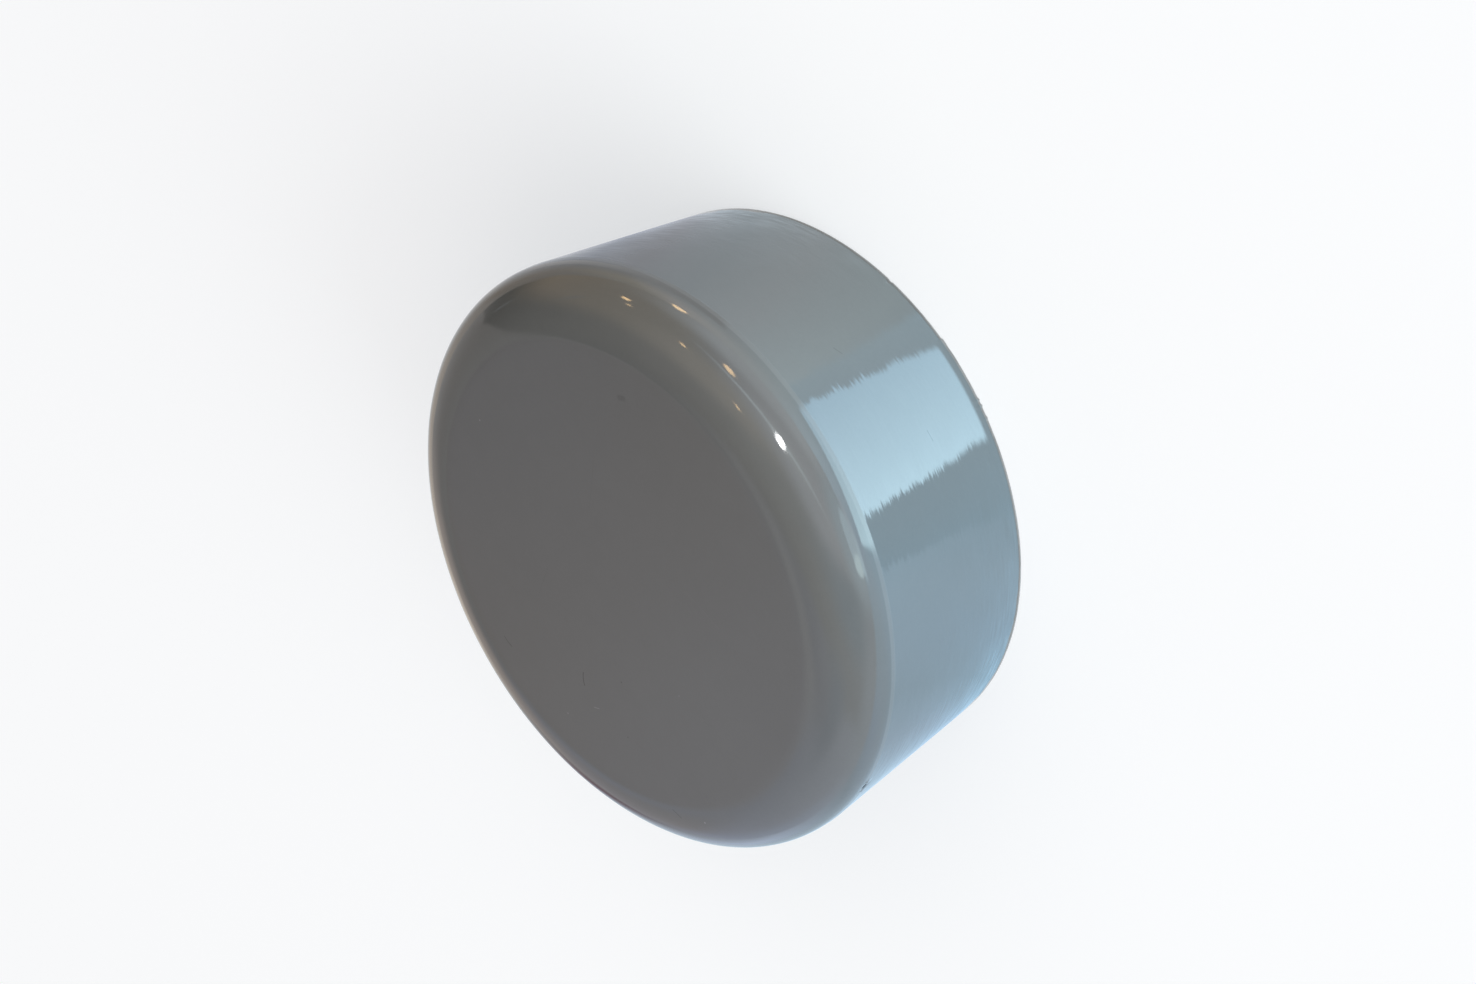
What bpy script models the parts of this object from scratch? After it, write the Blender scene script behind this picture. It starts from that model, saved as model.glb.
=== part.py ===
"""Push-on round end cap, moulded in one piece of grey plastic.

The cap stands on its rim with the closed face up. Z runs along the bore, and
the origin is the centre of the rim's plane. All sizes are in metres.
"""
import math

import bpy
from mathutils import Vector

# Bore: a push fit, eased at the rim and gripping at the closed end.
BORE_DIAMETER = 0.0603
MOUTH_EASE = 0.0002
END_GRIP = 0.0003

# Walls: a thin lip at the rim, a heavy shoulder and a flat end.
LIP_WALL = 0.00078
SHOULDER_WALL = 0.00345
END_WALL = 0.0032

# Outside: a tapered skirt, a narrow land where the mould parts, a rounded edge.
SKIRT_LENGTH = 0.02265
PARTING_LAND = 0.0005
EDGE_ALONG = 0.0057
EDGE_ACROSS = 0.0071

# Corners
LIP_ROUND = 0.0003
LEAD_IN_ROUND = 0.0002
INNER_ROUND = 0.0018

# Facets
TURN_STEPS = 120
EDGE_STEPS = 16
CORNER_STEPS = 4
INNER_STEPS = 8
WELD_DISTANCE = 0.00001

# Finish: linear colour of the moulded plastic.
CAP_COLOUR = (0.125, 0.125, 0.122, 1.0)
CAP_ROUGHNESS = 0.18


def clear_scene():
    """Remove every object that the file holds."""
    for item in list(bpy.data.objects):
        bpy.data.objects.remove(item, do_unlink=True)


def rounded_corner(before, corner, after, radius, steps):
    """Points of the arc that rounds a corner, tangent to both of its sides."""
    side_in = (before - corner).normalized()
    side_out = (after - corner).normalized()
    half_angle = side_in.angle(side_out) / 2
    setback = radius / math.tan(half_angle)
    middle = (side_in + side_out).normalized()
    centre = corner + middle * radius / math.sin(half_angle)
    start = corner + side_in * setback - centre
    end = corner + side_out * setback - centre
    sweep = start.angle(end)
    points = []
    for step in range(steps + 1):
        turn = sweep * step / steps
        share_in = math.sin(sweep - turn) / math.sin(sweep)
        share_out = math.sin(turn) / math.sin(sweep)
        points.append(centre + start * share_in + end * share_out)
    return points


def rounded_edge(centre, across, along, steps):
    """Quarter of an ellipse, from the flat face down to the widest circle."""
    points = []
    for step in range(steps + 1):
        turn = math.pi / 2 * step / steps
        points.append(centre + Vector((across * math.sin(turn), along * math.cos(turn))))
    return points


def cap_section():
    """Half section as (radius, height) points, down the outside and up the bore."""
    mouth_bore = (BORE_DIAMETER + MOUTH_EASE) / 2
    end_bore = (BORE_DIAMETER - END_GRIP) / 2
    mouth_radius = mouth_bore + LIP_WALL
    widest_radius = end_bore + SHOULDER_WALL
    face_radius = widest_radius - EDGE_ACROSS
    land_top = SKIRT_LENGTH + PARTING_LAND
    height = land_top + EDGE_ALONG
    bore_depth = height - END_WALL

    face_centre = Vector((0, height))
    land_foot = Vector((widest_radius, SKIRT_LENGTH))
    rim_outside = Vector((mouth_radius, 0))
    rim_inside = Vector((mouth_bore, 0))
    bore_corner = Vector((end_bore, bore_depth))
    bore_centre = Vector((0, bore_depth))

    section = [face_centre]
    section += rounded_edge(Vector((face_radius, land_top)), EDGE_ACROSS, EDGE_ALONG, EDGE_STEPS)
    section.append(land_foot)
    section += rounded_corner(land_foot, rim_outside, rim_inside, LIP_ROUND, CORNER_STEPS)
    section += rounded_corner(rim_outside, rim_inside, bore_corner, LEAD_IN_ROUND, CORNER_STEPS)
    section += rounded_corner(rim_inside, bore_corner, bore_centre, INNER_ROUND, INNER_STEPS)
    section.append(bore_centre)
    return section


def grey_plastic():
    """Glossy grey moulded plastic."""
    material = bpy.data.materials.new("grey_plastic")
    material.use_nodes = True
    shader = material.node_tree.nodes["Principled BSDF"]
    shader.inputs["Base Color"].default_value = CAP_COLOUR
    shader.inputs["Roughness"].default_value = CAP_ROUGHNESS
    shader.inputs["Metallic"].default_value = 0.0
    return material


def turned_object(name, section, material, collection):
    """One object whose half section is turned a full circle about Z."""
    mesh = bpy.data.meshes.new(name)
    vertices = [(point.x, 0, point.y) for point in section]
    edges = [(index, index + 1) for index in range(len(section) - 1)]
    mesh.from_pydata(vertices, edges, [])
    mesh.materials.append(material)
    turned = bpy.data.objects.new(name, mesh)
    collection.objects.link(turned)

    turn = turned.modifiers.new("Turn", "SCREW")
    turn.axis = "Z"
    turn.angle = 2 * math.pi
    turn.steps = TURN_STEPS
    turn.render_steps = TURN_STEPS
    turn.use_merge_vertices = True
    turn.merge_threshold = WELD_DISTANCE
    turn.use_smooth_shade = True

    weighting = turned.modifiers.new("Flat faces stay flat", "WEIGHTED_NORMAL")
    weighting.keep_sharp = True
    return turned


def build_cap():
    """The whole cap, in a collection of its own."""
    clear_scene()
    collection = bpy.data.collections.new("tube_end_cap")
    bpy.context.scene.collection.children.link(collection)
    turned_object("end_cap", cap_section(), grey_plastic(), collection)


build_cap()
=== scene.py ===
"""Looks of a push-on tube end cap: one glossy grey moulding that stands on its rim.

Everything is in metres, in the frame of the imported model: Z runs along the bore,
the origin is the centre of the rim's plane, and the closed face is up. The cap is
a turned surface with the small faults of a real moulding: a soft parting line, a
torn gate, flash on the lip and faint waves in the gloss. The gloss mirrors a room
that is dim and brown towards +X and bright and cool towards -Y. The places and
sizes of its patches were read off the photograph along lines of sight that the cap
mirrors, and their colours are rounded from a fit to the shades that are seen there.
"""
import logging
import math
from dataclasses import dataclass
from enum import Enum

import bpy
import numpy as np
from mathutils import Matrix, Vector


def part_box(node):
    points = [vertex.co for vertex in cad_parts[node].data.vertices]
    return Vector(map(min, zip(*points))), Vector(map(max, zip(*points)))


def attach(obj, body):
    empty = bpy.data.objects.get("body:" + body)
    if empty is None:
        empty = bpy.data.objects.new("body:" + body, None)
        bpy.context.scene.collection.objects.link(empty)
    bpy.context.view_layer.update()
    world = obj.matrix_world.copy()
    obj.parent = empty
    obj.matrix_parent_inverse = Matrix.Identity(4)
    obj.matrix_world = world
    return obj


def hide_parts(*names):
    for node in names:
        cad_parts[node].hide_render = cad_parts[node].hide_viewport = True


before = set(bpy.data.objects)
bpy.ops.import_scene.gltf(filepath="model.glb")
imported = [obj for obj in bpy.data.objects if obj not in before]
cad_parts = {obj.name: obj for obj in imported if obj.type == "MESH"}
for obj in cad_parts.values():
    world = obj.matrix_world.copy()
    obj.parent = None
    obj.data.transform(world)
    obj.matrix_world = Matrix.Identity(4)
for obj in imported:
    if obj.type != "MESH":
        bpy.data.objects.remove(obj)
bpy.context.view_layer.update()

CAD_NODE = "end_cap"
BODY = "root"
MATERIAL_SLOT = "grey_plastic"
PIECE = "end_cap_moulding"
# height of the rounded edge, from which the lamps' directions are taken
EDGE_LEVEL = 0.026
# radius at which the skirt is unrolled for its scratches and lines
SKIRT_RADIUS = 0.0325

Colour = tuple[float, float, float]
Point = tuple[float, float, float]

log = logging.getLogger("end_cap")


class Signal:
    """A socket's value that takes part in Python arithmetic through Math nodes."""

    def __init__(self, graph: "Graph", socket: bpy.types.NodeSocket) -> None:
        """Keep the graph that new Math nodes go into and the socket that carries the value."""
        self.graph = graph
        self.socket = socket

    def __add__(self, other: "Signal | float") -> "Signal":
        """Sum."""
        return self.graph.math("ADD", self, other)

    __radd__ = __add__

    def __sub__(self, other: "Signal | float") -> "Signal":
        """Difference."""
        return self.graph.math("SUBTRACT", self, other)

    def __rsub__(self, other: float) -> "Signal":
        """Difference, with a plain number first."""
        return self.graph.math("SUBTRACT", other, self)

    def __mul__(self, other: "Signal | float") -> "Signal":
        """Product."""
        return self.graph.math("MULTIPLY", self, other)

    __rmul__ = __mul__

    def __truediv__(self, other: "Signal | float") -> "Signal":
        """Quotient."""
        return self.graph.math("DIVIDE", self, other)

    def __rtruediv__(self, other: float) -> "Signal":
        """Quotient, with a plain number first."""
        return self.graph.math("DIVIDE", other, self)

    def __abs__(self) -> "Signal":
        """Size without its sign."""
        return self.graph.math("ABSOLUTE", self)


class Graph:
    """A node tree with one method that adds nodes and a few that name common ones."""

    def __init__(self, tree: bpy.types.NodeTree) -> None:
        """Keep a material's or the world's node tree, and empty it."""
        self.tree = tree
        tree.nodes.clear()

    def node(self, kind: str, settings: dict | None = None, inputs: dict | None = None) -> bpy.types.Node:
        """Add one node: its settings are set first, then its sockets.

        Args:
            kind: Blender's name of the node type.
            settings: the node's own properties by name.
            inputs: socket name, identifier or number, with a value or a Signal.

        Returns:
            The new node.
        """
        made = self.tree.nodes.new(kind)
        for name, value in (settings or {}).items():
            setattr(made, name, value)
        for key, value in (inputs or {}).items():
            socket = self._socket(made.inputs, key)
            if isinstance(value, Signal):
                self.tree.links.new(value.socket, socket)
            else:
                socket.default_value = value
        return made

    def signal(self, made: bpy.types.Node, key: "str | int" = 0) -> Signal:
        """One of a node's outputs, by name, identifier or number, as a Signal."""
        return Signal(self, self._socket(made.outputs, key))

    @staticmethod
    def _socket(sockets: bpy.types.NodeInputs, key: "str | int") -> bpy.types.NodeSocket:
        """Find a socket by number, identifier or name.

        Args:
            sockets: a node's inputs or outputs.
            key: the number, identifier or name.

        Returns:
            The socket.
        """
        if isinstance(key, int):
            return sockets[key]
        for socket in sockets:
            if socket.identifier == key:
                return socket
        return sockets[key]

    def math(self, operation: str, first: "Signal | float", second: "Signal | float" = 0.0) -> Signal:
        """One Math node."""
        return self.signal(self.node("ShaderNodeMath", {"operation": operation}, {0: first, 1: second}))

    def step(self, value: Signal, start: float, end: float) -> Signal:
        """Smooth step from 0 at start to 1 at end, in either direction.

        Args:
            value: the number that is compared.
            start: where the step begins.
            end: where the step is complete.

        Returns:
            A number from 0 to 1.
        """
        low, high = (start, end) if start < end else (end, start)
        made = self.node(
            "ShaderNodeMapRange",
            {"interpolation_type": "SMOOTHSTEP"},
            {"Value": value, "From Min": low, "From Max": high},
        )
        rising = self.signal(made, "Result")
        return rising if start < end else 1.0 - rising

    def blend(self, share: "Signal | float", first: "Signal | Colour", second: "Signal | Colour") -> Signal:
        """Mix two colours: a share of 0 gives the first and 1 the second."""
        inputs = {"Factor_Float": share, "A_Color": opaque(first), "B_Color": opaque(second)}
        return self.signal(self.node("ShaderNodeMix", {"data_type": "RGBA"}, inputs), "Result_Color")

    def parts(self, position: Signal) -> tuple[Signal, Signal, Signal]:
        """The three numbers of a vector."""
        made = self.node("ShaderNodeSeparateXYZ", None, {0: position})
        return self.signal(made, 0), self.signal(made, 1), self.signal(made, 2)

    def dot(self, first: Signal, second: Vector) -> Signal:
        """Dot product of a vector and a fixed direction."""
        made = self.node("ShaderNodeVectorMath", {"operation": "DOT_PRODUCT"}, {0: first, 1: second})
        return self.signal(made, "Value")

    def vector(
        self, operation: str, first: "Signal | Vector", second: "Signal | Vector | None" = None
    ) -> Signal:
        """One Vector Math node whose result is a vector.

        Args:
            operation: the node's operation.
            first: a vector.
            second: a vector, or the number that SCALE multiplies by.

        Returns:
            The resulting vector.
        """
        inputs = {0: first}
        if second is not None:
            inputs["Scale" if operation == "SCALE" else 1] = second
        return self.signal(self.node("ShaderNodeVectorMath", {"operation": operation}, inputs), "Vector")

    def light_path(self, *rays: str) -> Signal:
        """1 for the named kinds of ray and 0 for the rest.

        Args:
            rays: output names of the Light Path node.

        Returns:
            The largest of those outputs.
        """
        made = self.node("ShaderNodeLightPath")
        largest = self.signal(made, rays[0])
        for name in rays[1:]:
            largest = self.math("MAXIMUM", largest, self.signal(made, name))
        return largest


def opaque(colour: "Signal | Colour") -> "Signal | tuple[float, ...]":
    """A plain colour with full opacity, or the Signal as it is."""
    return colour if isinstance(colour, Signal) else (*colour, 1.0)


def bearing(azimuth: float, elevation: float) -> Vector:
    """Unit vector at so many degrees from +X towards +Y and so many above the floor."""
    around, up = math.radians(azimuth), math.radians(elevation)
    return Vector((math.cos(around) * math.cos(up), math.sin(around) * math.cos(up), math.sin(up)))


def blank_material(name: str) -> tuple[bpy.types.Material, Graph]:
    """Make a material with an empty graph.

    Args:
        name: the material's name.

    Returns:
        The material and its graph.
    """
    material = bpy.data.materials.new(name)
    material.use_nodes = True
    return material, Graph(material.node_tree)


def add_mesh(name: str, vertices: np.ndarray, faces: "np.ndarray | list") -> bpy.types.Object:
    """Make an object at the origin, with its place in its mesh.

    Args:
        name: name of the object and of its mesh.
        vertices: array of points.
        faces: rows of vertex numbers.

    Returns:
        The new object.
    """
    mesh = bpy.data.meshes.new(name)
    mesh.from_pydata(vertices, [], faces)
    made = bpy.data.objects.new(name, mesh)
    bpy.context.scene.collection.objects.link(made)
    return made


@dataclass
class CapSection:
    """Half section of the cap as radius and height, from the face's centre to the stop's.

    The stop is the inner side of the closed end.

    Attributes:
        widest_radius: radius at the parting line, from the frame.
        height: height over all, from the frame.
        mouth_bore: radius of the bore at the rim.
        end_bore: radius of the bore at the stop.
        lip_wall: wall at the rim.
        end_wall: thickness of the closed end.
        parting_land: height of the straight strip at the widest circle.
        edge_along: the rounded edge's reach along the bore.
        edge_across: the rounded edge's reach across the face.
        lip_round: outer radius of the rim.
        lead_in_round: inner radius of the rim.
        inner_round: radius between the bore and the stop.
        land_round: radius where the land meets the skirt.
    """

    widest_radius: float
    height: float
    mouth_bore: float = 0.03025
    end_bore: float = 0.0300
    lip_wall: float = 0.00078
    end_wall: float = 0.0032
    parting_land: float = 0.0005
    edge_along: float = 0.0057
    edge_across: float = 0.0071
    lip_round: float = 0.0003
    lead_in_round: float = 0.0002
    inner_round: float = 0.0018
    land_round: float = 0.0012

    @property
    def face_radius(self) -> float:
        """Radius of the flat face."""
        return self.widest_radius - self.edge_across

    @property
    def land_foot(self) -> float:
        """Height at which the skirt ends and the land begins."""
        return self.height - self.edge_along - self.parting_land

    @property
    def mouth_radius(self) -> float:
        """Outer radius at the rim, before it is rounded."""
        return self.mouth_bore + self.lip_wall

    def outline(self) -> np.ndarray:
        """Points of the half section, each stretch with the rings that its curve needs.

        The rounded edge is a quarter ellipse: the radius grows with the sine of the
        turn and the height with its cosine. Straight stretches are evenly divided,
        and corners are arcs tangent to both sides.

        Returns:
            Array of (radius, height) rows.
        """
        top = self.height
        stop = top - self.end_wall
        land_top = top - self.edge_along
        turn = np.linspace(0.0, math.pi / 2, 61)
        edge = np.column_stack((
            self.face_radius + self.edge_across * np.sin(turn),
            land_top + self.edge_along * np.cos(turn),
        ))
        above = (self.widest_radius, land_top)
        foot = (self.widest_radius, self.land_foot)
        rim_out = (self.mouth_radius, 0.0)
        rim_in = (self.mouth_bore, 0.0)
        deep = (self.end_bore, stop)
        land_turn = arc_corner(above, foot, rim_out, self.land_round, 8)
        lip = arc_corner(foot, rim_out, rim_in, self.lip_round, 10)
        lead_in = arc_corner(rim_out, rim_in, deep, self.lead_in_round, 6)
        inner = arc_corner(rim_in, deep, (0.0, stop), self.inner_round, 8)
        return np.vstack((
            straight((0.0, top), edge[0], 24),
            edge,
            land_turn,
            straight(land_turn[-1], lip[0], 46)[1:],
            lip,
            lead_in,
            straight(lead_in[-1], inner[0], 16)[1:],
            inner,
            straight(inner[-1], (0.0, stop), 12)[1:],
            [(0.0, stop)],
        ))


def straight(start: "tuple | np.ndarray", end: "tuple | np.ndarray", steps: int) -> np.ndarray:
    """Evenly spaced points from start up to, but not at, end."""
    share = np.linspace(0.0, 1.0, steps, endpoint=False)[:, None]
    return np.asarray(start) * (1.0 - share) + np.asarray(end) * share


def arc_corner(before: tuple, corner: tuple, after: tuple, radius: float, steps: int) -> np.ndarray:
    """Arc that rounds a corner: equal angles on a circle tangent to both sides.

    Args:
        before: a point on the side that comes in.
        corner: the sharp corner.
        after: a point on the side that goes out.
        radius: radius of the arc.
        steps: points on the arc, less one.

    Returns:
        Array of points.
    """
    corner_point = np.asarray(corner, float)
    side_in = np.asarray(before, float) - corner_point
    side_out = np.asarray(after, float) - corner_point
    side_in /= np.linalg.norm(side_in)
    side_out /= np.linalg.norm(side_out)
    half = math.acos(float(side_in @ side_out)) / 2
    middle = side_in + side_out
    centre = corner_point + middle / np.linalg.norm(middle) * radius / math.sin(half)
    start = corner_point + side_in * radius / math.tan(half) - centre
    end = corner_point + side_out * radius / math.tan(half) - centre
    sweep = math.pi - 2 * half
    turn = np.linspace(0.0, sweep, steps + 1)[:, None]
    return centre + (start * np.sin(sweep - turn) + end * np.sin(turn)) / math.sin(sweep)


@dataclass(frozen=True)
class Blemish:
    """A small bump or pit, round or long, on the turned surface.

    Attributes:
        azimuth: place round the cap in degrees.
        height: height above the rim's plane.
        along: half length round the cap.
        across: half width along the section.
        rise: how far it stands out, or less than 0 for a pit.
    """

    azimuth: float
    height: float
    along: float
    across: float
    rise: float

    def relief(self, around: np.ndarray, radius: np.ndarray, height: np.ndarray) -> np.ndarray:
        """Height of the blemish: its rise times a bell curve in both directions.

        Args:
            around: azimuth of each column in radians.
            radius: radius of each ring, as a column.
            height: height of each ring, as a column.

        Returns:
            Displacement of every grid point.
        """
        offset = np.angle(np.exp(1j * (around - math.radians(self.azimuth))))
        arc = offset * np.maximum(radius, 1e-6)
        return self.rise * np.exp(-(arc / self.along) ** 2 - ((height - self.height) / self.across) ** 2)


@dataclass(frozen=True)
class Flash:
    """A thin fin of squeezed-out plastic on the lip.

    Attributes:
        start: azimuth in degrees where it begins as a step.
        end: azimuth in degrees where it has died out.
        rise: how far it stands out.
        reach: height above the rim's plane that it covers.
    """

    start: float
    end: float
    rise: float
    reach: float

    def relief(self, around: np.ndarray, height: np.ndarray) -> np.ndarray:
        """Fin: a sharp step at the start, a slow fade to the end, ragged between.

        Args:
            around: azimuth of each column in radians.
            height: height of each ring, as a column.

        Returns:
            Displacement of every grid point.
        """
        degrees = np.degrees(around)
        share = np.clip((self.start - degrees) / (self.start - self.end), 0.0, 1.0)
        step = np.clip((self.start - degrees) / 0.25, 0.0, 1.0)
        ragged = 0.75 + 0.25 * np.sin(degrees * 3.1) * np.sin(degrees * 1.3 + 0.7)
        fade = (1.0 - share) ** 1.5
        below = np.clip(1.0 - height / self.reach, 0.0, 1.0) ** 0.5
        return self.rise * step * fade * ragged * below


@dataclass(frozen=True)
class Ripples:
    """Long, shallow waves left by cooling, seen only where the gloss mirrors a light.

    Attributes:
        waves: how many waves are summed.
        height: height of the sum, from trough to mean.
        shortest: shortest wavelength.
        longest: longest wavelength.
        seed: start of the random phases.
    """

    waves: int = 22
    height: float = 0.0000045
    shortest: float = 0.0030
    longest: float = 0.0110
    seed: int = 7

    def relief(self, around: np.ndarray, along: np.ndarray, radius: float) -> np.ndarray:
        """Sum of sine waves that run in many directions over the unrolled surface.

        Args:
            around: azimuth of each column in radians.
            along: length along the section of each ring, as a column.
            radius: radius at which the surface is unrolled.

        Returns:
            Displacement of every grid point.
        """
        draw = np.random.default_rng(self.seed)
        length = np.exp(draw.uniform(math.log(self.shortest), math.log(self.longest), self.waves))
        heading = draw.uniform(0.0, math.pi, self.waves)
        phase = draw.uniform(0.0, 2 * math.pi, self.waves)
        lobes = np.round(radius * 2 * math.pi / length * np.cos(heading))
        slope = 2 * math.pi / length * np.sin(heading)
        waves = np.sin(lobes * around[..., None] + slope * along[..., None] + phase)
        share = length / length.sum()
        total = self.waves ** 0.5 * (waves * share).sum(axis=-1)
        return self.height * (total - np.abs(total).max())


@dataclass(frozen=True)
class Hairline:
    """A fine scratch or a speck on the flat face or on the skirt.

    Attributes:
        first: X on the face, or the length round the skirt, of its middle.
        second: Y on the face, or the height on the skirt, of its middle.
        width: half of its width.
        shade: what the plastic's colour is multiplied by on it.
        length: its length, 0 for a round speck.
        heading: its direction in degrees.
        bend: how far it curves sideways, in metres for each square metre of run.
    """

    first: float
    second: float
    width: float
    shade: float
    length: float = 0.0
    heading: float = 0.0
    bend: float = 0.0

    def mask(self, graph: Graph, first: Signal, second: Signal) -> Signal:
        """1 on the scratch and 0 off it.

        The distance is that to a parabola's arc: sideways offset less the bend times
        the square of the run, with round ends.

        Args:
            graph: the graph that the nodes go into.
            first: the surface's first coordinate.
            second: the surface's second coordinate.

        Returns:
            The mask.
        """
        cosine, sine = math.cos(math.radians(self.heading)), math.sin(math.radians(self.heading))
        ahead = (first - self.first) * cosine + (second - self.second) * sine
        aside = (second - self.second) * cosine - (first - self.first) * sine
        off = aside - ahead * ahead * self.bend
        past = graph.math("MAXIMUM", abs(ahead) - self.length / 2, 0.0)
        distance = graph.math("SQRT", off * off + past * past)
        whole = self.width * 0.35
        return graph.step(distance, self.width, whole)


FACE_HAIRLINES = (
    Hairline(-0.0078, 0.0144, 0.00007, 0.45, 0.0016, 145.0, 180.0),
    Hairline(-0.0004, 0.0237, 0.00006, 0.55, 0.0014, 12.0, -120.0),
    Hairline(-0.0253, 0.0112, 0.00006, 0.55, 0.0013, 20.0, 90.0),
    Hairline(0.0218, 0.0084, 0.00013, 1.7),
    Hairline(-0.0104, 0.0201, 0.00013, 1.5),
    Hairline(-0.0113, 0.0148, 0.00006, 1.5, 0.0008, 60.0),
    Hairline(-0.0100, 0.0085, 0.00014, 0.65),
    Hairline(-0.0156, 0.0123, 0.00013, 0.70),
    Hairline(-0.0140, 0.0005, 0.00010, 1.5),
    Hairline(-0.0274, 0.0077, 0.00014, 1.9),
    Hairline(0.0159, -0.0153, 0.00045, 0.86, 0.0006, 60.0),
    Hairline(0.0036, 0.0121, 0.00005, 0.93, 0.0042, 118.0, 9.0),
    Hairline(0.0098, -0.0037, 0.00005, 0.94, 0.0065, 131.0, -6.0),
    Hairline(-0.0071, -0.0102, 0.00005, 1.06, 0.0054, 22.0, 5.0),
)
SKIRT_HAIRLINES = (
    Hairline(-0.05357, 0.0091, 0.00010, 0.72, 0.0012, 5.0),
    Hairline(-0.04136, 0.0138, 0.00009, 0.80, 0.0010, 25.0),
    Hairline(0.0214, 0.0121, 0.00006, 0.85, 0.0018, 35.0, 30.0),
    Hairline(0.0871, 0.0162, 0.00006, 0.85, 0.0022, 160.0, 14.0),
)


@dataclass(frozen=True)
class Grain:
    """Noise from 0 to 1, as fine or as long as a part of the finish needs.

    Attributes:
        scale: bumps for each metre.
        detail: octaves of finer noise.
        stretch: share of the scale along each axis.
    """

    scale: float
    detail: float = 2.0
    stretch: Point = (1.0, 1.0, 1.0)

    def value(self, graph: Graph, position: Signal) -> Signal:
        """The noise at a position.

        Args:
            graph: the graph that the nodes go into.
            position: coordinates in metres.

        Returns:
            The noise.
        """
        placed = graph.node("ShaderNodeMapping", None, {"Vector": position, "Scale": self.stretch})
        inputs = {"Vector": graph.signal(placed), "Scale": self.scale, "Detail": self.detail}
        return graph.signal(graph.node("ShaderNodeTexNoise", None, inputs))


# unevenness of the colour
BROAD = Grain(55.0)
MOTTLE = Grain(420.0, 3.0)
FINE = Grain(2600.0)
DRAWN = Grain(130.0, 2.0, (1.0, 1.0, 0.12))
# smudges in the gloss
SMEAR = Grain(90.0, 3.0, (1.0, 0.35, 1.0))
# faint bumps, and drawn lines in the bore
PEEL = Grain(700.0, 1.5)
RIPPLE = Grain(260.0, 1.0)
SWEEP = Grain(900.0, 2.0, (1.0, 1.0, 0.10))
# fine lines round the unrolled skirt
LINES = Grain(1.0, 2.0, (260.0, 3600.0, 1.0))
DRIFT = Grain(1.0, 1.0, (160.0, 330.0, 1.0))


@dataclass(frozen=True)
class Shading:
    """What the plastic's sockets are worked out from: coordinates, a noise and masks.

    A mask is 1 on its part of the cap and 0 elsewhere.

    Attributes:
        graph: the material's graph.
        position: the point that is shaded.
        x: first coordinate on the flat face.
        y: second coordinate on the flat face.
        z: height above the rim's plane.
        unrolled: length round the skirt.
        mottle: noise that the colour and the roughness share.
        inside: mask of the bore and the stop.
        face: mask of the flat face.
        skirt: mask of the skirt.
        land: mask of the strip at the parting line that gets a painted highlight and duller gloss.
        lip: mask of the lip's band that gets a painted reflection and duller gloss.
        gate: mask of the torn gate.
    """

    graph: Graph
    position: Signal
    x: Signal
    y: Signal
    z: Signal
    unrolled: Signal
    mottle: Signal
    inside: Signal
    face: Signal
    skirt: Signal
    land: Signal
    lip: Signal
    gate: Signal


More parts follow.
